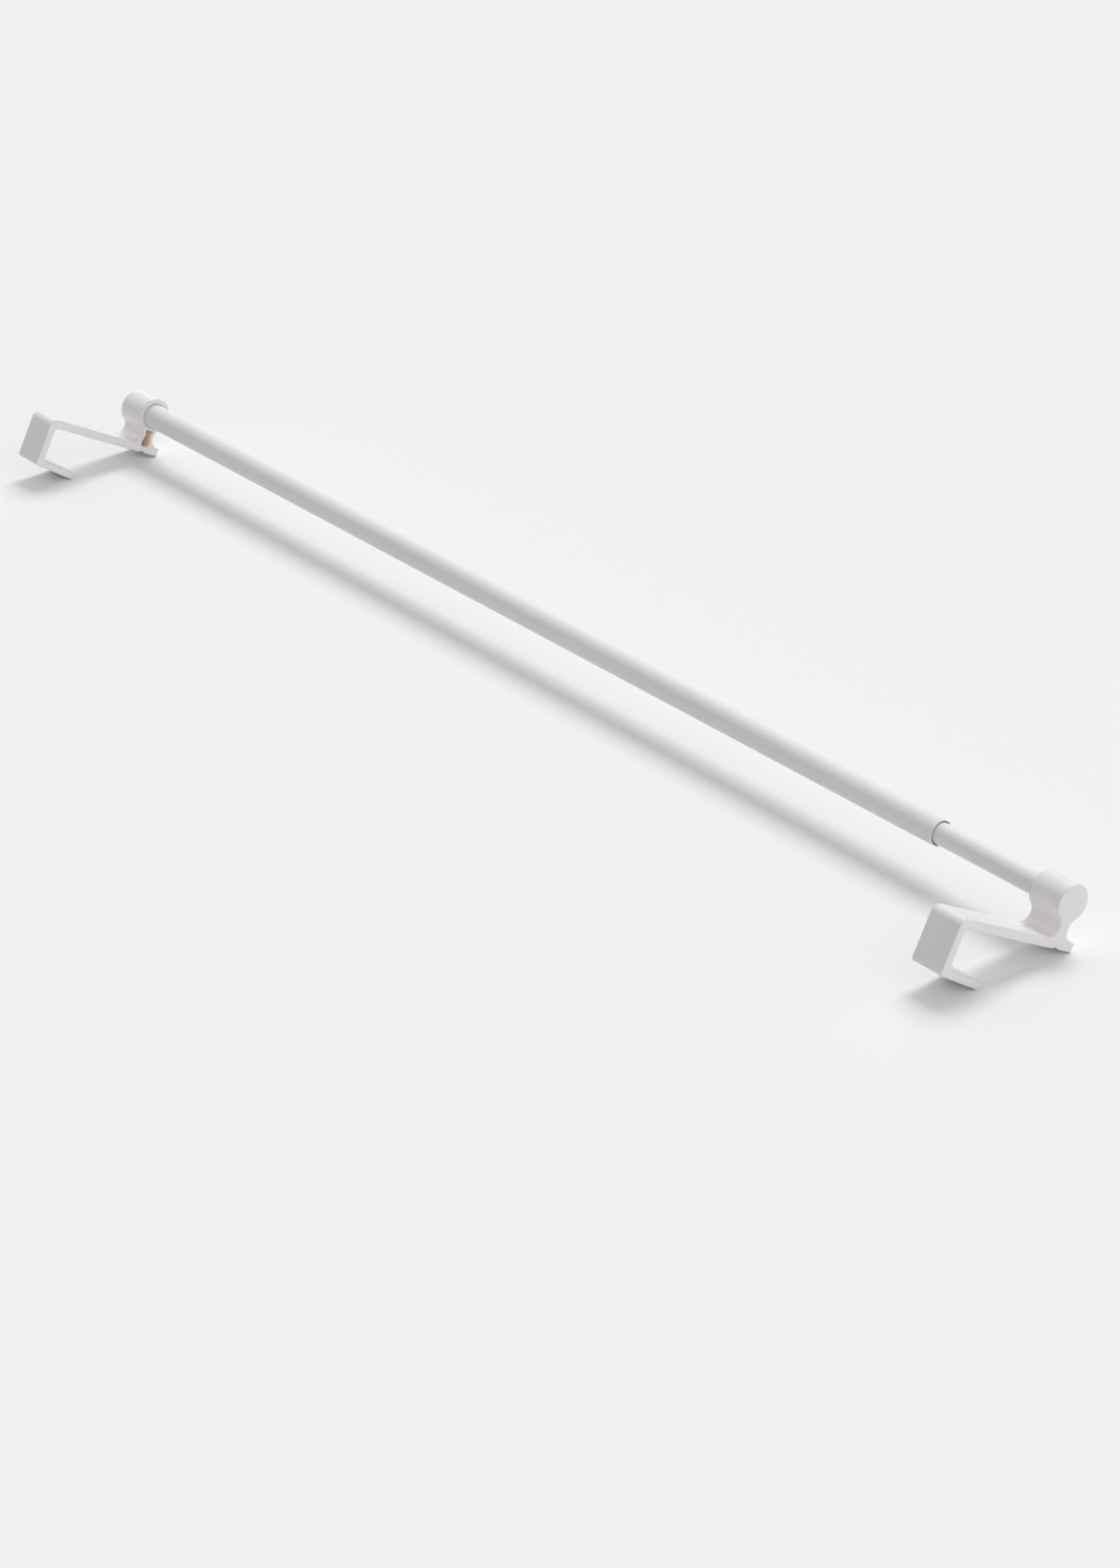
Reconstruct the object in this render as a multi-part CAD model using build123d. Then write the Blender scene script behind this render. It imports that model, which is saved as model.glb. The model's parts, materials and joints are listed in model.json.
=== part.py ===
"""Extendable curtain rod: two telescoping tubes with a moulded window-sash hook on each end.

The rod lies at rest on a flat surface, as it does before it is hung: X runs along the rod towards the
thinner tube, Z is up, and the hooks point towards -Y. Each hook bracket stands on the edge of its toe and
the tip of its lip. Sizes are in millimetres.
"""
import os
from math import asin, atan2, cos, radians, sin, sqrt, tan

from build123d import *

# Tubes
INNER_TUBE_DIAMETER = 13.0
INNER_TUBE_WALL = 0.5
INNER_TUBE_LENGTH = 780.0
OUTER_TUBE_WALL = 0.8
OUTER_TUBE_LENGTH = 810.0
TUBE_EDGE_BREAK = 0.15
BARE_INNER_TUBE = 81.0  # length of thinner tube that shows at rest

# Guide bush behind the outer tube's mouth
GUIDE_WALL = 0.65
GUIDE_RECESS = 3.0
GUIDE_LENGTH = 20.0
GUIDE_SPLIT = 1.5
GUIDE_LEAD_IN = 0.4

# Plug on the inner tube's hidden end
PLUG_COLLAR_LENGTH = 14.0
PLUG_STEM_LENGTH = 20.0
PLUG_BORE = 7.0
PLUG_GROOVE_WIDTH = 6.0
PLUG_GROOVE_DEPTH = 0.6
PLUG_LEAD_IN = 0.8

# Fits
RUNNING_CLEARANCE = 0.05  # radial, tube in socket, tube in guide and plug in tube
SOCKET_END_PLAY = 0.2

# Bracket, measured along the plate and square to it from the tube's axis
BRACKET_WIDTH = 23.0
SOCKET_END_WALL = 4.0
SOCKET_LEAD_IN = 0.6
OUTER_BOSS_WALL = 3.75
OUTER_NECK_HOOK_SIDE = 3.9
OUTER_NECK_TOE_SIDE = 5.5
INNER_BOSS_WALL = 4.25
INNER_NECK_HOOK_SIDE = 2.9
INNER_NECK_TOE_SIDE = 4.1
PLATE_DROP = 20.8  # from the axis to the plate's top
PLATE_THICKNESS = 5.6
TOE_LAND = 1.07  # flat from the neck's hollow to the end of the toe
HOOK_REACH = 78.1
HOOK_GAP = 22.8
WALL_THICKNESS = 5.2
LIP_THICKNESS = 4.9
LIP_LENGTH = 33.0
LIP_FLARE = 6.1  # degrees
SHOULDER_RADIUS = 5.0
HEEL_RADIUS = 2.0
GAP_SHOULDER_RADIUS = 3.0
GAP_HEEL_RADIUS = 1.0
LIP_TIP_RADIUS = 2.0
TOE_RADIUS = 0.6
EDGE_BREAK = 0.4
POCKET_WALL = 2.5
POCKET_FLOOR = 4.0
POCKET_PLATE_DEPTH = 1.0
POCKET_FLARE = 0.8
POCKET_CORNER_RADIUS = 1.0
GROOVE_WIDTH = 5.5
GROOVE_DEPTH = 0.9


def neck_hollow(boss_radius, half_width):
    """Radius and centre of the hollow that touches the boss, the plate's top and one side of the waist."""
    reach = boss_radius + PLATE_DROP
    radius = reach - half_width - sqrt(2 * reach * (boss_radius - half_width))
    return radius, Vector(half_width + radius, radius - PLATE_DROP)


# Places along the rod, from its middle
ROD_LENGTH = SOCKET_END_WALL + SOCKET_END_PLAY + OUTER_TUBE_LENGTH + BARE_INNER_TUBE + BRACKET_WIDTH
OUTER_TUBE_START = -ROD_LENGTH / 2 + SOCKET_END_WALL + SOCKET_END_PLAY
MOUTH = OUTER_TUBE_START + OUTER_TUBE_LENGTH
INNER_TUBE_END = ROD_LENGTH / 2 - SOCKET_END_WALL - SOCKET_END_PLAY
INNER_TUBE_START = INNER_TUBE_END - INNER_TUBE_LENGTH

# The wider tube slips over the thinner one with the guide bush between them
INNER_TUBE_BORE = INNER_TUBE_DIAMETER - 2 * INNER_TUBE_WALL
OUTER_TUBE_BORE = INNER_TUBE_DIAMETER + 2 * (RUNNING_CLEARANCE + GUIDE_WALL)
OUTER_TUBE_DIAMETER = OUTER_TUBE_BORE + 2 * OUTER_TUBE_WALL

# Bosses, and the toe that reaches past the wider neck
OUTER_BOSS_RADIUS = OUTER_TUBE_DIAMETER / 2 + RUNNING_CLEARANCE + OUTER_BOSS_WALL
INNER_BOSS_RADIUS = INNER_TUBE_DIAMETER / 2 + RUNNING_CLEARANCE + INNER_BOSS_WALL
OUTER_HOLLOW_REACH = neck_hollow(OUTER_BOSS_RADIUS, OUTER_NECK_TOE_SIDE)[1].X
INNER_HOLLOW_REACH = neck_hollow(INNER_BOSS_RADIUS, INNER_NECK_TOE_SIDE)[1].X
TOE_REACH = max(OUTER_HOLLOW_REACH, INNER_HOLLOW_REACH) + TOE_LAND

# Levels across the hook, square to the plate, and the lip's corners in its own section
PLATE_TOP = -PLATE_DROP
PLATE_BOTTOM = PLATE_TOP - PLATE_THICKNESS
FLARE = radians(LIP_FLARE)
GAP_HEEL = Vector(WALL_THICKNESS - HOOK_REACH, PLATE_BOTTOM - HOOK_GAP)
LIP_ALONG = Vector(cos(FLARE), -sin(FLARE))
LIP_DOWN = Vector(-sin(FLARE), -cos(FLARE))
LIP_RUN = (LIP_LENGTH - WALL_THICKNESS) / cos(FLARE)
LIP_TIP_INNER = GAP_HEEL + LIP_ALONG * LIP_RUN
LIP_TIP_OUTER = LIP_TIP_INNER + LIP_DOWN * LIP_THICKNESS
HEEL = Vector(-HOOK_REACH, LIP_TIP_OUTER.Y + (LIP_TIP_OUTER.X + HOOK_REACH) * tan(FLARE))

# How the bracket lies: the surface touches the rounded toe and the rounded tip of the lip
TOE_CENTRE = Vector(TOE_REACH - TOE_RADIUS, PLATE_BOTTOM + TOE_RADIUS)
TIP_CENTRE = LIP_TIP_OUTER - (LIP_ALONG + LIP_DOWN) * LIP_TIP_RADIUS
TOE_FROM_TIP = TOE_CENTRE - TIP_CENTRE
REST_TILT = atan2(TOE_FROM_TIP.Y, TOE_FROM_TIP.X) - asin((TOE_RADIUS - LIP_TIP_RADIUS) / TOE_FROM_TIP.length)
AXIS_HEIGHT = TOE_RADIUS + TOE_CENTRE.X * sin(REST_TILT) - TOE_CENTRE.Y * cos(REST_TILT)


def round_corner(face, corner, radius):
    """Round the corner of a flat face that lies nearest to a point."""
    return fillet(face.vertices().sort_by_distance(Vector(corner))[:1], radius)


def hook_strip():
    """Plate, hook wall and flared lip as one bent strip."""
    toe_top = Vector(TOE_REACH, PLATE_TOP)
    toe_bottom = Vector(TOE_REACH, PLATE_BOTTOM)
    shoulder = Vector(-HOOK_REACH, PLATE_TOP)
    gap_shoulder = Vector(WALL_THICKNESS - HOOK_REACH, PLATE_BOTTOM)
    outline = [toe_top, shoulder, HEEL, LIP_TIP_OUTER, LIP_TIP_INNER, GAP_HEEL, gap_shoulder, toe_bottom]
    strip = Sketch() + make_face(Polyline(*outline, close=True))
    corner_radii = [
        (toe_top, TOE_RADIUS),
        (toe_bottom, TOE_RADIUS),
        (shoulder, SHOULDER_RADIUS),
        (gap_shoulder, GAP_SHOULDER_RADIUS),
        (HEEL, HEEL_RADIUS),
        (GAP_HEEL, GAP_HEEL_RADIUS),
        (LIP_TIP_OUTER, LIP_TIP_RADIUS),
        (LIP_TIP_INNER, TOE_RADIUS),
    ]
    for corner, radius in corner_radii:
        strip = round_corner(strip, corner, radius)
    return strip


def neck_hollows(boss_radius, hook_side, toe_side, wall=0.0):
    """The two round hollows beside the neck, grown by a wall."""
    hook_radius, hook_centre = neck_hollow(boss_radius, hook_side)
    toe_radius, toe_centre = neck_hollow(boss_radius, toe_side)
    hook_hollow = Pos(-hook_centre.X, hook_centre.Y) * Circle(hook_radius + wall)
    return hook_hollow, Pos(toe_centre.X, toe_centre.Y) * Circle(toe_radius + wall)


def neck(boss_radius, hook_side, toe_side):
    """Waisted web between the boss and the plate, hollowed on both sides."""
    hook_centre = neck_hollow(boss_radius, hook_side)[1]
    toe_centre = neck_hollow(boss_radius, toe_side)[1]
    root = PLATE_TOP - PLATE_THICKNESS / 2
    outline = [
        Vector(0, 0),
        Vector(-hook_centre.X, hook_centre.Y),
        Vector(-hook_centre.X, root),
        Vector(toe_centre.X, root),
        toe_centre,
    ]
    web = Sketch() + make_face(Polyline(*outline, close=True))
    for hollow in neck_hollows(boss_radius, hook_side, toe_side):
        web -= hollow
    return web


def underside_groove(hook_side, toe_side):
    """Shallow round-bottomed groove across the plate's underside, below the middle of the neck."""
    radius = (GROOVE_WIDTH**2 / 4 + GROOVE_DEPTH**2) / (2 * GROOVE_DEPTH)
    return Pos((toe_side - hook_side) / 2, PLATE_BOTTOM + GROOVE_DEPTH - radius) * Circle(radius)


def core_pocket(socket_radius, boss_radius, hook_side, toe_side):
    """Outline of the blind pocket that keeps the neck's walls even, so it is waisted as the neck is."""
    left = POCKET_WALL - POCKET_FLARE - hook_side
    right = toe_side - POCKET_WALL + POCKET_FLARE
    top = -socket_radius - POCKET_WALL
    bottom = PLATE_TOP - POCKET_PLATE_DEPTH
    outline = RectangleRounded(right - left, top - bottom, POCKET_CORNER_RADIUS)
    pocket = Pos((left + right) / 2, (top + bottom) / 2) * outline
    for hollow in neck_hollows(boss_radius, hook_side, toe_side, POCKET_WALL):
        pocket -= hollow
    return pocket


def hook_bracket(tube_diameter, boss_radius, hook_side, toe_side):
    """One moulding in the plate's own axes, open for the tube at w = 0 and closed at w = BRACKET_WIDTH."""
    socket_radius = tube_diameter / 2 + RUNNING_CLEARANCE
    section = hook_strip() + Circle(boss_radius) + neck(boss_radius, hook_side, toe_side)
    section -= underside_groove(hook_side, toe_side)
    body = extrude(section, amount=BRACKET_WIDTH)
    ends = body.faces().filter_by(Axis.Z)
    body = chamfer(ends.edges(), EDGE_BREAK)
    body -= extrude(Circle(socket_radius), amount=BRACKET_WIDTH - SOCKET_END_WALL)
    lead_in_align = (Align.CENTER, Align.CENTER, Align.MIN)
    body -= Cone(socket_radius + SOCKET_LEAD_IN, socket_radius, SOCKET_LEAD_IN, align=lead_in_align)
    pocket = core_pocket(socket_radius, boss_radius, hook_side, toe_side)
    body -= extrude(pocket, amount=BRACKET_WIDTH - POCKET_FLOOR)
    return body


def tube(start, length, diameter, bore):
    """Round tube along X with its four rims broken."""
    wall = Circle(diameter / 2) - Circle(bore / 2)
    body = extrude(Plane(origin=(start, 0, 0), x_dir=(0, 1, 0), z_dir=(1, 0, 0)) * wall, amount=length)
    rims = body.edges().filter_by(GeomType.CIRCLE)
    return chamfer(rims, TUBE_EDGE_BREAK)


def turned(outline):
    """Ring or plug turned about X from an outline of (x, radius) points."""
    section = make_face(Polyline(*[Vector(x, r) for x, r in outline], close=True))
    return revolve(section, Axis.X)


def mouth_guide():
    """Split bush pressed into the outer tube behind its mouth."""
    end = MOUTH - GUIDE_RECESS
    start = end - GUIDE_LENGTH
    outside = OUTER_TUBE_BORE / 2
    inside = outside - GUIDE_WALL
    sleeve = turned([
        (start, outside),
        (end, outside),
        (end, inside + GUIDE_LEAD_IN),
        (end - GUIDE_LEAD_IN, inside),
        (start + GUIDE_LEAD_IN, inside),
        (start, inside + GUIDE_LEAD_IN),
    ])
    slot = Box(2 * GUIDE_LENGTH, GUIDE_SPLIT, outside, align=(Align.CENTER, Align.CENTER, Align.MAX))
    return sleeve - Pos((start + end) / 2, 0, 0) * slot


def sliding_plug():
    """Plug in the inner tube's hidden end, with a grooved collar that runs in the outer tube."""
    shoulder = INNER_TUBE_START
    back = shoulder - PLUG_COLLAR_LENGTH
    nose = shoulder + PLUG_STEM_LENGTH
    middle = (back + shoulder) / 2
    collar = OUTER_TUBE_BORE / 2 - RUNNING_CLEARANCE
    stem = INNER_TUBE_BORE / 2
    return turned([
        (back, PLUG_BORE / 2),
        (back, collar - PLUG_LEAD_IN),
        (back + PLUG_LEAD_IN, collar),
        (middle - PLUG_GROOVE_WIDTH / 2, collar),
        (middle - PLUG_GROOVE_WIDTH / 2, collar - PLUG_GROOVE_DEPTH),
        (middle + PLUG_GROOVE_WIDTH / 2, collar - PLUG_GROOVE_DEPTH),
        (middle + PLUG_GROOVE_WIDTH / 2, collar),
        (shoulder, collar),
        (shoulder, stem),
        (nose - PLUG_LEAD_IN, stem),
        (nose, stem - PLUG_LEAD_IN),
        (nose, PLUG_BORE / 2),
    ])


def resting_plane(x):
    """Plane across the rod at x, with its first axis down the plate's slope at rest."""
    return Plane(origin=(x, 0, 0), x_dir=(0, cos(REST_TILT), -sin(REST_TILT)), z_dir=(1, 0, 0))


def main():
    os.makedirs("parts", exist_ok=True)
    outer_neck = (OUTER_BOSS_RADIUS, OUTER_NECK_HOOK_SIDE, OUTER_NECK_TOE_SIDE)
    inner_neck = (INNER_BOSS_RADIUS, INNER_NECK_HOOK_SIDE, INNER_NECK_TOE_SIDE)
    outer_hook = hook_bracket(OUTER_TUBE_DIAMETER, *outer_neck)
    inner_hook = hook_bracket(INNER_TUBE_DIAMETER, *inner_neck)
    nodes = {
        "outer_tube": tube(OUTER_TUBE_START, OUTER_TUBE_LENGTH, OUTER_TUBE_DIAMETER, OUTER_TUBE_BORE),
        "inner_tube": tube(INNER_TUBE_START, INNER_TUBE_LENGTH, INNER_TUBE_DIAMETER, INNER_TUBE_BORE),
        "mouth_guide": mouth_guide(),
        "sliding_plug": sliding_plug(),
        "outer_bracket": resting_plane(BRACKET_WIDTH - ROD_LENGTH / 2) * mirror(outer_hook, Plane.XY),
        "inner_bracket": resting_plane(ROD_LENGTH / 2 - BRACKET_WIDTH) * inner_hook,
    }
    boxes = [nodes[name].bounding_box() for name in ("outer_bracket", "inner_bracket")]
    front = min(box.min.Y for box in boxes)
    back = max(box.max.Y for box in boxes)
    to_rest = Pos(0, -(front + back) / 2, AXIS_HEIGHT)
    for name, shape in nodes.items():
        export_step(to_rest * shape, f"parts/{name}.step")
    print("the tube axis is at y", round(to_rest.position.Y, 4), "z", round(AXIS_HEIGHT, 4))


main()
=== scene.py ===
"""Finish and stage of an extendable curtain rod: powder-coated tubes, moulded hooks, dark guides.

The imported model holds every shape. This file gives each piece its surface, and sets the floor, light and
camera. Sizes are in metres.
"""
import json
import math

import bpy
from bpy.props import FloatProperty, FloatVectorProperty, PointerProperty
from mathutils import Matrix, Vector


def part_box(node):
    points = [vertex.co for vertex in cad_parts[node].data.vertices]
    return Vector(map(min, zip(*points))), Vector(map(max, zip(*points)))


bl_info = {
    "name": "Extendable Curtain Rod Finish",
    "version": (1, 0, 0),
    "blender": (4, 5, 0),
    "location": "View3D > Sidebar > Curtain Rod",
    "description": "Finishes the tubes, hooks and guides of an extendable curtain rod and sets its stage",
    "category": "Object",
}

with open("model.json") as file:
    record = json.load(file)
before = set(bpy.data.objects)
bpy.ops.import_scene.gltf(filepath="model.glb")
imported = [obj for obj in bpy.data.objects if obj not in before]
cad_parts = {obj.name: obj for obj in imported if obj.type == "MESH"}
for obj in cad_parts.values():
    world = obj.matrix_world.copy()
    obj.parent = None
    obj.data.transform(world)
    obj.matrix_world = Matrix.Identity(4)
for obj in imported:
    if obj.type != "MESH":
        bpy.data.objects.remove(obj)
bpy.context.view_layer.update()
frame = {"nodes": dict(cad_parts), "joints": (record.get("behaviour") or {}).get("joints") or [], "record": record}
NODES = frame["nodes"]
JOINTS = {joint["name"]: joint for joint in frame["joints"]}
MOUNTS = {mount["name"]: mount for mount in frame["record"]["mounts"]}

# The rod's axis, and the directions along and up from the plate of a hook bracket
ROD_WAY = Vector((1, 0, 0))
AXIS_POINT = Vector(JOINTS["outer_bracket_swivel"]["pos_m"])
PLATE_ALONG = Vector(MOUNTS["outer_hook_seat"]["axis"])
PLATE_UP = ROD_WAY.cross(PLATE_ALONG)

# How far the open face of each bracket, where its tube goes in, stands from the middle of the rod
OPEN_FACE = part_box("inner_bracket")[0].x

# Middle of the pocket in a bracket's neck, from the rod's axis along and up from the plate
POCKET_ALONG = 0.0008
POCKET_UP = -0.0162

# Reach from that middle and depth behind the open face that take in both brackets' pockets and nothing else
POCKET_HALF_WIDTH = 0.00315
POCKET_HALF_HEIGHT = 0.0072
POCKET_DEPTH = 0.021

# Depths behind the open face where the painted warm glow inside the pocket begins and where it is full
POCKET_GLOW_START = 0.0001
POCKET_GLOW_FULL = 0.0004

# Distances from the pocket's middle within which the painted glow on the thin walls is full and at which it ends
NECK_GLOW_FULL = 0.006
NECK_GLOW_END = 0.022

# How squarely a face looks along the rod: up to the first it shows the painted glow of the thin walls, from the
# second none
SIDE_FACE = 0.4
END_FACE = 0.8

# Depths behind the open face where its rounder edges end and where the closed side's edges begin
OPEN_EDGE_END = 0.004
CLOSED_EDGE_START = 0.012

# Heights over a tube's bore where the paint begins and where it covers, and the length of the cut end that carries
# a painted highlight
PAINT_START = 0.00008
PAINT_FULL = 0.00016
RIM_LENGTH = 0.0002

# Scales of two patterns along and across a tube, where less than 1 draws a pattern out
MOTTLE_STRETCH = (0.4, 1, 1)
STREAK_STRETCH = (0.02, 1, 1)

# The orange peel's width and depth over those of the coat's fine grain
PEEL_TO_GRAIN_WIDTH = 5
PEEL_TO_GRAIN_DEPTH = 6

# Range that a noise pattern mostly keeps to
PATTERN_LOW = 0.3
PATTERN_HIGH = 0.7

# Places of a colour Mix node's sockets, whose names repeat
MIX_FACTOR = 0
MIX_FIRST = 6
MIX_SECOND = 7
MIX_RESULT = 2

# Rays that find each rounded edge
EDGE_SAMPLES = 6

# The floor's dull surface, and the camera's sensor and furthest sight
FLOOR_ROUGHNESS = 0.9
SENSOR_MILLIMETRES = 36.0
SIGHT_LENGTH = 200.0


def colour(name, text, default):
    """A colour setting."""
    return FloatVectorProperty(
        name=name, description=text, default=default, size=3, min=0, max=1, subtype="COLOR"
    )


def length(name, text, default):
    """A length setting."""
    return FloatProperty(
        name=name, description=text, default=default, min=0, precision=6, subtype="DISTANCE", unit="LENGTH"
    )


def share(name, text, default):
    """A setting from 0 to 1."""
    return FloatProperty(name=name, description=text, default=default, min=0, max=1, subtype="FACTOR")


def angle(name, text, degrees):
    """An angle setting, given in degrees."""
    return FloatProperty(
        name=name, description=text, default=math.radians(degrees), subtype="ANGLE", unit="ROTATION"
    )


def strength(name, text, default):
    """A brightness setting."""
    return FloatProperty(name=name, description=text, default=default, min=0)


class TubeFinish(bpy.types.PropertyGroup):
    """Powder coat on the two steel tubes."""

    paint: colour("Paint", "Powder coat on the outside of both tubes", (0.762, 0.757, 0.765))
    mottle: share("Mottle", "How far the coat's tone drifts along the tube", 0.02)
    mottle_width: length("Mottle width", "Width of one drift of the coat's tone", 0.05)
    sheen: share("Sheen", "Strength of the coat's reflections", 0.45)
    outer_roughness: share("Outer roughness", "Mean roughness of the thicker tube's satin coat", 0.5)
    inner_roughness: share("Inner roughness", "Mean roughness of the thinner tube's glossier coat", 0.31)
    roughness_swing: share("Roughness swing", "How far the roughness goes from its mean", 0.03)
    streak_width: length("Streak width", "Width of one streak of roughness along the tube", 0.0012)
    peel_width: length("Peel width", "Width of one ripple of the coat's orange peel", 0.0018)
    peel_depth: length("Peel depth", "Depth of the orange peel", 0.000004)
    steel: colour("Steel", "Bare steel in the bore", (0.32, 0.31, 0.30))
    # The cut end's colour is lighter than the coat: a painted highlight
    rim_highlight: colour("Rim", "Bright cut end of a tube", (0.95, 0.95, 0.95))
    edge_radius: length("Edge radius", "Roundness of the cut ends", 0.00025)


class BracketFinish(bpy.types.PropertyGroup):
    """Satin plastic with a fine grain on the two hook brackets."""

    plastic: colour("Plastic", "Moulded plastic", (0.77, 0.754, 0.759))
    # The neck and pocket colours are painted glow: lighter, warmer colours that stand in for light coming through
    # the thin plastic walls
    neck: colour("Neck", "Tone of the thin walls round the neck's pocket", (0.92, 0.89, 0.88))
    core: colour("Core", "Tone of the plastic inside the neck's pocket", (1.0, 0.82, 0.62))
    cloud: share("Cloud", "How far the plastic's tone drifts", 0.015)
    cloud_width: length("Cloud width", "Width of one drift of the plastic's tone", 0.018)
    roughness: share("Roughness", "Mean roughness of the moulded face", 0.25)
    roughness_swing: share("Roughness swing", "How far the roughness goes from its mean", 0.02)
    patch_width: length("Patch width", "Width of one patch of roughness", 0.004)
    edge_radius: length("Edge radius", "Roundness of the edges on the closed side", 0.0006)
    open_edge_radius: length("Open edge radius", "Roundness of the edges on the tube's side", 0.0017)
    grain_width: length("Grain width", "Width of one grain of the mould's spark texture", 0.00035)
    grain_depth: length("Grain depth", "Depth of the mould's spark texture", 0.0000015)


class GuideFinish(bpy.types.PropertyGroup):
    """Dark plastic of the guide bush and the sliding plug."""

    plastic: colour("Plastic", "Dark moulded plastic", (0.035, 0.034, 0.033))
    cloud: share("Cloud", "How far the plastic's tone drifts", 0.2)
    cloud_width: length("Cloud width", "Width of one drift of the plastic's tone and roughness", 0.006)
    roughness: share("Roughness", "Mean roughness of the moulded face", 0.42)
    roughness_swing: share("Roughness swing", "How far the roughness goes from its mean", 0.06)
    grain_width: length("Grain width", "Width of one grain of the surface", 0.0004)
    grain_depth: length("Grain depth", "Depth of the grain", 0.00001)


class StageSettings(bpy.types.PropertyGroup):
    """Floor, light and camera."""

    floor: colour("Floor", "Pale floor", (0.905, 0.905, 0.905))
    floor_size: length("Floor size", "Side of the square floor", 60.0)
    backdrop: colour("Backdrop", "Tone beyond the floor, near that of the lit floor", (0.88, 0.88, 0.88))
    key: strength("Key", "Strength of the key light", 1.5)
    key_colour: colour("Key colour", "Colour of the key light", (1.0, 0.995, 0.985))
    key_spread: angle("Key spread", "Apparent width of the key light", 30)
    key_azimuth: angle("Key azimuth", "Way round to the key light, from the hooks' side", 204)
    key_elevation: angle("Key elevation", "Height of the key light", 56.6)
    room_colour: colour("Room colour", "Colour of the soft room light and the window", (0.99, 0.985, 1.0))
    top: strength("Top", "Brightness of the room overhead", 0.215)
    near_side: strength("Near side", "Brightness of the room beyond the thinner tube's end", 1.16)
    window: strength("Window", "Strength of the broad window beyond the thicker tube's end", 1.045)
    window_spread: angle("Window spread", "Apparent width of the window", 80)
    window_azimuth: angle("Window azimuth", "Way round to the window, from the hooks' side", 258)
    window_elevation: angle("Window elevation", "Height of the window", 36)
    azimuth: angle("Azimuth", "Way round to the camera, from the hooks' side", 52.45)
    elevation: angle("Elevation", "Height of the camera", 26.07)
    distance: length("Distance", "From the camera to the point on the floor that it looks at", 2.4715)
    focal_length: FloatProperty(
        name="Focal length", description="Lens in millimetres", default=98.9, subtype="DISTANCE_CAMERA"
    )
    target: FloatVectorProperty(
        name="Target",
        description="Point that the camera looks at",
        default=(0.1321, -0.0501, 0.0),
        subtype="TRANSLATION",
        unit="LENGTH",
    )


def add(tree, kind, inputs=(), **settings):
    """A new node, with its settings, and its inputs set to values or linked to sockets."""
    node = tree.nodes.new(kind)
    for name, value in settings.items():
        setattr(node, name, value)
    for name, value in dict(inputs).items():
        if isinstance(value, bpy.types.NodeSocket):
            tree.links.new(value, node.inputs[name])
        else:
            node.inputs[name].default_value = value
    return node


def math_node(tree, operation, first, second=0.0):
    """Result of a Math node."""
    return add(tree, "ShaderNodeMath", {0: first, 1: second}, operation=operation).outputs[0]


def vector_node(tree, operation, first, second=(0, 0, 0)):
    """Outputs of a Vector Math node."""
    return add(tree, "ShaderNodeVectorMath", {0: first, 1: second}, operation=operation).outputs


def dot(tree, point, direction):
    """Distance of a point along a direction."""
    return vector_node(tree, "DOT_PRODUCT", point, direction)["Value"]


def ramp(tree, value, start, end, low=0.0, high=1.0):
    """Value from start to end, spread over low to high and held there."""
    inputs = {"Value": value, "From Min": start, "From Max": end, "To Min": low, "To Max": high}
    return add(tree, "ShaderNodeMapRange", inputs).outputs["Result"]


def noise(tree, place, width, detail=2.0, stretch=(1, 1, 1)):
    """Cloudy pattern whose features are about that wide."""
    scaled = add(tree, "ShaderNodeMapping", {"Vector": place, "Scale": stretch}).outputs["Vector"]
    inputs = {"Vector": scaled, "Scale": 1 / width, "Detail": detail}
    return add(tree, "ShaderNodeTexNoise", inputs).outputs["Fac"]


def mix(tree, factor, first, second):
    """Colour between two colours."""
    inputs = {MIX_FACTOR: factor, MIX_FIRST: first, MIX_SECOND: second}
    return add(tree, "ShaderNodeMix", inputs, data_type="RGBA").outputs[MIX_RESULT]


def shade(base, factor=1.0):
    """A colour made lighter or darker, with its alpha."""
    return (*(channel * factor for channel in base), 1.0)


def drift(tree, pattern, base, spread):
    """Colour that drifts about a base with a noise pattern."""
    factor = ramp(tree, pattern, PATTERN_LOW, PATTERN_HIGH)
    return mix(tree, factor, shade(base, 1 - spread), shade(base, 1 + spread))


def swing(tree, pattern, mean, spread):
    """Value that swings about a mean with a noise pattern."""
    return ramp(tree, pattern, PATTERN_LOW, PATTERN_HIGH, mean - spread, mean + spread)


def bump(tree, height, depth, normal=None):
    """Normal bent by a height pattern of that depth."""
    inputs = {"Height": height, "Distance": depth}
    if normal is not None:
        inputs["Normal"] = normal
    return add(tree, "ShaderNodeBump", inputs).outputs["Normal"]


def soft_edge(tree, radius):
    """Normal that rounds sharp edges off to that radius."""
    return add(tree, "ShaderNodeBevel", {"Radius": radius}, samples=EDGE_SAMPLES).outputs["Normal"]


def new_surface(name):
    """A new material and its shader."""
    material = bpy.data.materials.new(name)
    material.use_nodes = True
    return material, material.node_tree.nodes["Principled BSDF"]


def place_on_piece(tree):
    """Place on the piece, which the patterns are fixed to."""
    return add(tree, "ShaderNodeTexCoord").outputs["Object"]


def finish_shader(tree, shader, tone, roughness, normal):
    """Lead a colour, a roughness and a normal to a shader."""
    for name, value in (("Base Color", tone), ("Roughness", roughness), ("Normal", normal)):
        tree.links.new(value, shader.inputs[name])


def dress(node, material):
    """Give a CAD node its finish."""
    piece = NODES[node]
    piece.data.materials.clear()
    piece.data.materials.append(material)


def bore_radius(node):
    """Radius of a tube's bore, from the points of its mesh nearest to the axis."""
    return min((point.co - AXIS_POINT).yz.length for point in NODES[node].data.vertices)


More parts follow.
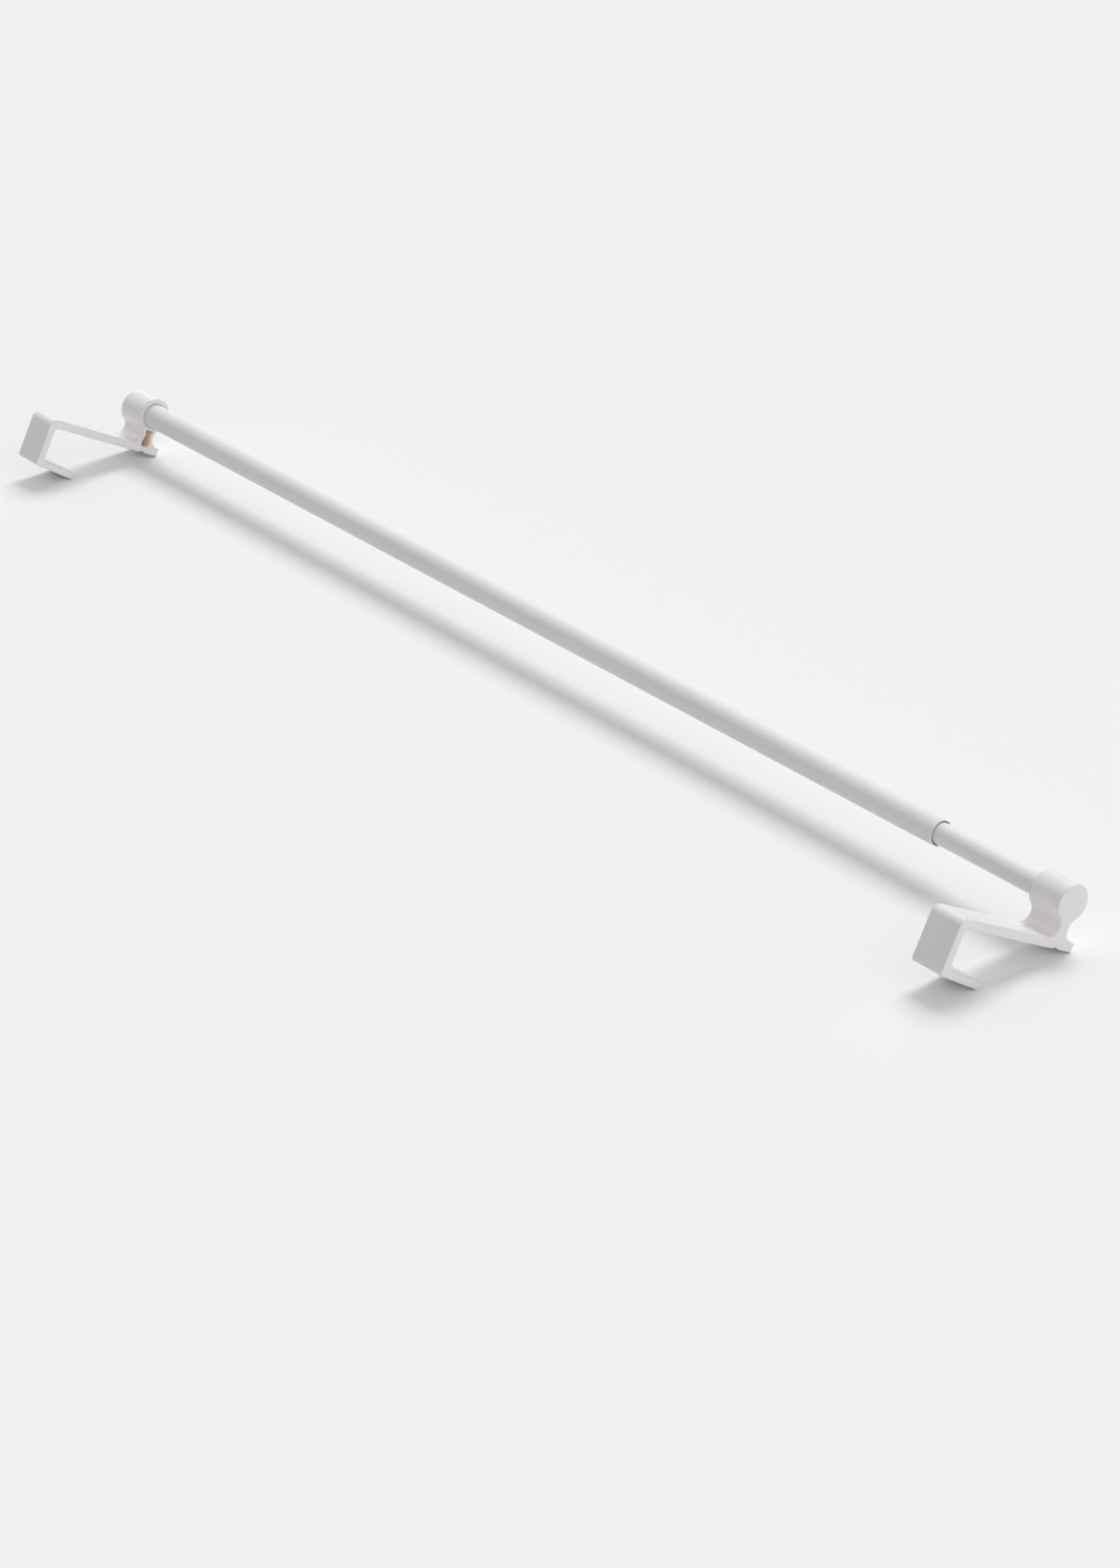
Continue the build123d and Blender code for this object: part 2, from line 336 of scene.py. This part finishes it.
def powder_coat(finish, node, mean_roughness):
    """Powder coat outside, bare steel in the bore and a painted highlight on the cut end."""
    material, shader = new_surface("powder_coat_" + node)
    tree = material.node_tree
    place = place_on_piece(tree)
    lengthwise = dot(tree, place, ROD_WAY)

    from_axis = vector_node(tree, "SUBTRACT", place, AXIS_POINT)["Vector"]
    across = vector_node(tree, "MULTIPLY", from_axis, (0, 1, 1))["Vector"]
    radius = vector_node(tree, "LENGTH", across)["Value"]
    bore = bore_radius(node)
    painted = ramp(tree, radius, bore + PAINT_START, bore + PAINT_FULL)
    cut_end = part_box(node)[1].x
    # Painted highlight: the cut end gets a brighter colour than the coat
    rim_highlight = math_node(tree, "GREATER_THAN", lengthwise, cut_end - RIM_LENGTH)

    mottle = noise(tree, place, finish.mottle_width, stretch=MOTTLE_STRETCH)
    tone = drift(tree, mottle, finish.paint, finish.mottle)
    tone = mix(tree, painted, shade(finish.steel), tone)
    tone = mix(tree, rim_highlight, tone, shade(finish.rim_highlight))

    streaks = noise(tree, place, finish.streak_width, stretch=STREAK_STRETCH)
    roughness = swing(tree, streaks, mean_roughness, finish.roughness_swing)

    peel = noise(tree, place, finish.peel_width)
    grain = noise(tree, place, finish.peel_width / PEEL_TO_GRAIN_WIDTH)
    rippled = bump(tree, peel, finish.peel_depth, soft_edge(tree, finish.edge_radius))
    grained = bump(tree, grain, finish.peel_depth / PEEL_TO_GRAIN_DEPTH, rippled)

    shader.inputs["Specular IOR Level"].default_value = finish.sheen
    finish_shader(tree, shader, tone, roughness, grained)
    return material


def moulded_plastic(finish):
    """Satin plastic with a fine grain, lighter on the neck's thin walls and tan inside its pocket, both painted
    glow of light through the plastic.
    """
    material, shader = new_surface("moulded_plastic")
    tree = material.node_tree
    place = place_on_piece(tree)
    lengthwise = dot(tree, place, ROD_WAY)

    # Depth behind the open face, and distances from the pocket's middle
    depth = math_node(tree, "SUBTRACT", math_node(tree, "ABSOLUTE", lengthwise), OPEN_FACE)
    from_axis = vector_node(tree, "SUBTRACT", place, AXIS_POINT)["Vector"]
    along = math_node(tree, "SUBTRACT", dot(tree, from_axis, PLATE_ALONG), POCKET_ALONG)
    up = math_node(tree, "SUBTRACT", dot(tree, from_axis, PLATE_UP), POCKET_UP)
    beside = math_node(tree, "ABSOLUTE", along)
    above = math_node(tree, "ABSOLUTE", up)

    # Mask of the painted warm glow inside the pocket
    core = ramp(tree, depth, POCKET_GLOW_START, POCKET_GLOW_FULL)
    limits = ((beside, POCKET_HALF_WIDTH), (above, POCKET_HALF_HEIGHT), (depth, POCKET_DEPTH))
    for distance, limit in limits:
        core = math_node(tree, "MULTIPLY", core, math_node(tree, "LESS_THAN", distance, limit))

    # Mask of the painted glow on the thin walls round the pocket, kept off the end faces
    aside = add(tree, "ShaderNodeCombineXYZ", {"X": beside, "Y": above}).outputs["Vector"]
    away = vector_node(tree, "LENGTH", aside)["Value"]
    normal = add(tree, "ShaderNodeTexCoord").outputs["Normal"]
    endwise = math_node(tree, "ABSOLUTE", dot(tree, normal, ROD_WAY))
    close = ramp(tree, away, NECK_GLOW_END, NECK_GLOW_FULL)
    thin = math_node(tree, "MULTIPLY", close, ramp(tree, endwise, END_FACE, SIDE_FACE))

    clouds = noise(tree, place, finish.cloud_width)
    tone = drift(tree, clouds, finish.plastic, finish.cloud)
    # Painted glow of light through the plastic: lighter on the thin walls, tan inside the pocket
    tone = mix(tree, thin, tone, shade(finish.neck))
    tone = mix(tree, core, tone, shade(finish.core))

    patches = noise(tree, place, finish.patch_width)
    roughness = swing(tree, patches, finish.roughness, finish.roughness_swing)

    grain = noise(tree, place, finish.grain_width, detail=3.0)
    radii = (finish.open_edge_radius, finish.edge_radius)
    edge = soft_edge(tree, ramp(tree, depth, OPEN_EDGE_END, CLOSED_EDGE_START, *radii))
    finish_shader(tree, shader, tone, roughness, bump(tree, grain, finish.grain_depth, edge))
    return material


def guide_plastic(finish):
    """Dark plastic with a fine grain."""
    material, shader = new_surface("guide_plastic")
    tree = material.node_tree
    place = place_on_piece(tree)
    clouds = noise(tree, place, finish.cloud_width)
    tone = drift(tree, clouds, finish.plastic, finish.cloud)
    roughness = swing(tree, clouds, finish.roughness, finish.roughness_swing)
    grain = noise(tree, place, finish.grain_width)
    finish_shader(tree, shader, tone, roughness, bump(tree, grain, finish.grain_depth))
    return material


class CURTAINROD_OT_finish_tubes(bpy.types.Operator):
    """Give both tubes their powder coat"""

    bl_idname = "curtainrod.finish_tubes"
    bl_label = "Finish Tubes"

    def execute(self, context):
        finish = context.scene.rod_tubes
        coats = {"outer_tube": finish.outer_roughness, "inner_tube": finish.inner_roughness}
        for node, roughness in coats.items():
            dress(node, powder_coat(finish, node, roughness))
        return {"FINISHED"}


class CURTAINROD_OT_finish_brackets(bpy.types.Operator):
    """Give both hook brackets their moulded plastic"""

    bl_idname = "curtainrod.finish_brackets"
    bl_label = "Finish Brackets"

    def execute(self, context):
        material = moulded_plastic(context.scene.rod_brackets)
        for node in ("outer_bracket", "inner_bracket"):
            dress(node, material)
        return {"FINISHED"}


class CURTAINROD_OT_finish_guides(bpy.types.Operator):
    """Give the guide bush and the sliding plug their dark plastic"""

    bl_idname = "curtainrod.finish_guides"
    bl_label = "Finish Guides"

    def execute(self, context):
        material = guide_plastic(context.scene.rod_guides)
        for node in ("mouth_guide", "sliding_plug"):
            dress(node, material)
        return {"FINISHED"}


def towards(azimuth, elevation):
    """Direction from the object, an azimuth round from the hooks' side and an elevation up."""
    flat = math.cos(elevation)
    return Vector((math.sin(azimuth) * flat, -math.cos(azimuth) * flat, math.sin(elevation)))


def aim(thing, back):
    """Turn a lamp or camera so that it looks along -back, level."""
    thing.rotation_mode = "QUATERNION"
    thing.rotation_quaternion = (-back).to_track_quat("-Z", "Y")


def lay_floor(stage):
    """Plain pale floor that takes the shadows."""
    half = stage.floor_size / 2
    corners = [(-half, -half, 0), (half, -half, 0), (half, half, 0), (-half, half, 0)]
    mesh = bpy.data.meshes.new("floor")
    mesh.from_pydata(corners, [], [(0, 1, 2, 3)])
    floor = bpy.data.objects.new("floor", mesh)
    bpy.context.collection.objects.link(floor)
    material, shader = new_surface("floor")
    shader.inputs["Base Color"].default_value = shade(stage.floor)
    shader.inputs["Roughness"].default_value = FLOOR_ROUGHNESS
    shader.inputs["Specular IOR Level"].default_value = 0.0
    mesh.materials.append(material)


def hang_lamp(name, power, spread, tint, way):
    """Far soft lamp that shines from one way."""
    lamp = bpy.data.lights.new(name, "SUN")
    lamp.energy = power
    lamp.angle = spread
    lamp.color = tint
    hung = bpy.data.objects.new(name, lamp)
    bpy.context.collection.objects.link(hung)
    aim(hung, way)


def hang_lamps(stage):
    """Broad key light from behind the rod, and a lower window."""
    key_way = towards(stage.key_azimuth, stage.key_elevation)
    hang_lamp("key", stage.key, stage.key_spread, stage.key_colour, key_way)
    window_way = towards(stage.window_azimuth, stage.window_elevation)
    hang_lamp("window", stage.window, stage.window_spread, stage.room_colour, window_way)


def light_room(stage):
    """Soft room light from above and from the near side, with the backdrop's tone behind the object."""
    world = bpy.data.worlds.new("room")
    bpy.context.scene.world = world
    world.use_nodes = True
    tree = world.node_tree
    way = add(tree, "ShaderNodeTexCoord").outputs["Generated"]
    top = ramp(tree, dot(tree, way, (0, 0, 1)), 0, 1, 0, stage.top)
    side = ramp(tree, dot(tree, way, ROD_WAY), 0, 1, 0, stage.near_side)
    room = math_node(tree, "ADD", top, side)
    light = add(tree, "ShaderNodeBackground", {"Color": shade(stage.room_colour), "Strength": room})
    wall = add(tree, "ShaderNodeBackground", {"Color": shade(stage.backdrop)})
    rays = add(tree, "ShaderNodeLightPath").outputs
    mirrored = math_node(tree, "MAXIMUM", rays["Is Glossy Ray"], rays["Is Transmission Ray"])
    seen = math_node(tree, "MAXIMUM", rays["Is Camera Ray"], mirrored)
    shown = add(tree, "ShaderNodeMixShader", {0: seen, 1: light.outputs[0], 2: wall.outputs[0]})
    tree.links.new(shown.outputs[0], tree.nodes["World Output"].inputs["Surface"])


def place_camera(stage):
    """Camera at the photograph's place, for its upright frame."""
    lens = bpy.data.cameras.new("camera")
    lens.sensor_fit = "AUTO"
    lens.sensor_width = SENSOR_MILLIMETRES
    lens.lens = stage.focal_length
    lens.clip_end = SIGHT_LENGTH
    camera = bpy.data.objects.new("camera", lens)
    bpy.context.collection.objects.link(camera)
    back = towards(stage.azimuth, stage.elevation)
    camera.location = Vector(stage.target) + back * stage.distance
    aim(camera, back)
    bpy.context.scene.camera = camera


class CURTAINROD_OT_set_stage(bpy.types.Operator):
    """Lay the floor, light the room and place the camera"""

    bl_idname = "curtainrod.set_stage"
    bl_label = "Set Stage"

    def execute(self, context):
        stage = context.scene.rod_stage
        lay_floor(stage)
        hang_lamps(stage)
        light_room(stage)
        place_camera(stage)
        context.scene.view_settings.view_transform = "Standard"
        return {"FINISHED"}


class CURTAINROD_PT_panel(bpy.types.Panel):
    """Sidebar panel with each step and its settings"""

    bl_idname = "CURTAINROD_PT_panel"
    bl_label = "Curtain Rod"
    bl_space_type = "VIEW_3D"
    bl_region_type = "UI"
    bl_category = "Curtain Rod"

    def draw(self, context):
        for operator, group in STEPS:
            box = self.layout.box()
            box.operator(operator.bl_idname)
            settings = getattr(context.scene, group)
            for name in settings.__annotations__:
                box.prop(settings, name)


STEPS = (
    (CURTAINROD_OT_finish_tubes, "rod_tubes"),
    (CURTAINROD_OT_finish_brackets, "rod_brackets"),
    (CURTAINROD_OT_finish_guides, "rod_guides"),
    (CURTAINROD_OT_set_stage, "rod_stage"),
)
GROUPS = {
    "rod_tubes": TubeFinish,
    "rod_brackets": BracketFinish,
    "rod_guides": GuideFinish,
    "rod_stage": StageSettings,
}
CLASSES = (*GROUPS.values(), *(operator for operator, group in STEPS), CURTAINROD_PT_panel)


def register():
    """Register the classes and give the scene their settings."""
    for cls in CLASSES:
        bpy.utils.register_class(cls)
    for name, group in GROUPS.items():
        setattr(bpy.types.Scene, name, PointerProperty(type=group))


def unregister():
    """Take the settings and the classes away again."""
    for name in GROUPS:
        delattr(bpy.types.Scene, name)
    for cls in reversed(CLASSES):
        bpy.utils.unregister_class(cls)


def main():
    """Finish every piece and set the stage."""
    register()
    bpy.ops.curtainrod.finish_tubes()
    bpy.ops.curtainrod.finish_brackets()
    bpy.ops.curtainrod.finish_guides()
    bpy.ops.curtainrod.set_stage()


if __name__ == "__main__":
    main()
